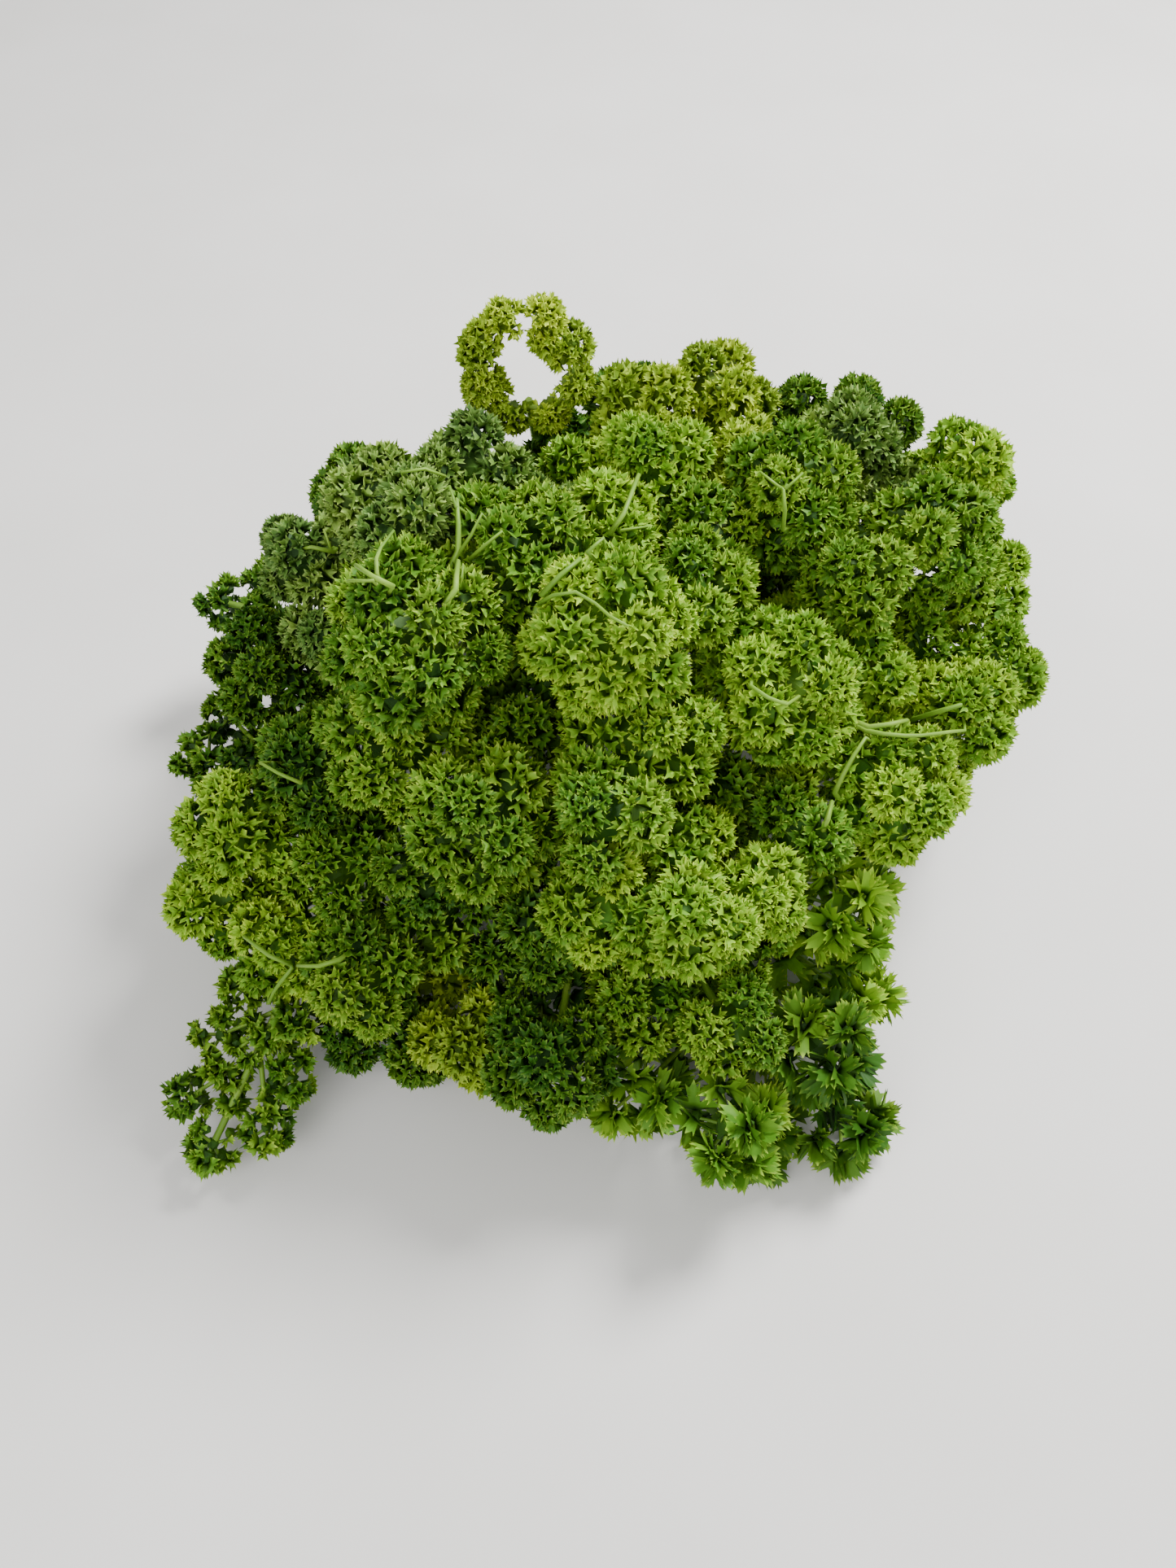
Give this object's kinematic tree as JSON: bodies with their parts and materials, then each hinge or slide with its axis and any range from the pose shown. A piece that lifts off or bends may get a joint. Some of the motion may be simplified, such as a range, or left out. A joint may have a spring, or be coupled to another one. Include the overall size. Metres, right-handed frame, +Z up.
{
  "type": "parsley bunch",
  "caption": "Loose bunch of curly-leaved herb stems lying on a flat surface, cut ends piled together and curled leafy heads spread in a dome.",
  "frame": {"origin": "on the surface that the bunch lies on, below the middle of its bounding box", "axes": "+Z up; +Y along the stalks towards their cut ends; the leafy heads spread towards -Y and to both sides"},
  "size_m": [0.3166, 0.3578, 0.1805],
  "materials": {
    "leaf_deep": "fresh leaf, deep green, satin",
    "leaf_mid": "fresh leaf, mid green, satin",
    "leaf_bright": "fresh leaf, bright green, satin",
    "leaf_yellow": "fresh leaf, yellow-green, satin",
    "leaf_pale": "fresh leaf with its paler underside showing, satin"
  },
  "bodies": {
    "root": {"stem_loop_back": "leaf_yellow", "stem_back_small": "leaf_deep", "stem_back_yellow": "leaf_yellow", "stem_back_right": "leaf_deep", "stem_right_grey": "leaf_pale", "stem_right_far": "leaf_bright", "stem_back_left": "leaf_deep", "stem_crown_turned": "leaf_pale", "stem_left_fan": "leaf_pale", "stem_crown_bright": "leaf_bright", "stem_crown_mid": "leaf_mid", "stem_right_upper": "leaf_mid", "stem_right_edge": "leaf_mid", "stem_big_front": "leaf_mid", "stem_big_side": "leaf_bright", "stem_left_outer": "leaf_deep", "stem_rosette": "leaf_mid", "stem_right_large": "leaf_bright", "stem_right_head": "leaf_bright", "stem_inner_left": "leaf_deep", "stem_inner_front": "leaf_deep", "stem_inner_right": "leaf_deep", "stem_left_sprig": "leaf_deep", "stem_left_low": "leaf_bright", "stem_left_hanging": "leaf_mid", "stem_left_inner": "leaf_deep", "stem_left_front": "leaf_mid", "stem_front_centre": "leaf_mid", "stem_front_bright": "leaf_bright", "stem_front_round": "leaf_mid", "stem_front_dark": "leaf_deep", "stem_front_yellow": "leaf_yellow", "stem_left_corner": "leaf_deep", "stem_front_flat": "leaf_mid", "stem_front_flat_right": "leaf_deep", "stem_right_front": "leaf_bright", "stem_right_low": "leaf_mid", "stem_right_inner": "leaf_bright", "stem_far_left": "leaf_deep", "stem_back_low_left": "leaf_mid", "stem_back_low_right": "leaf_deep", "stem_right_floor": "leaf_mid"}
  },
  "joints": []
}
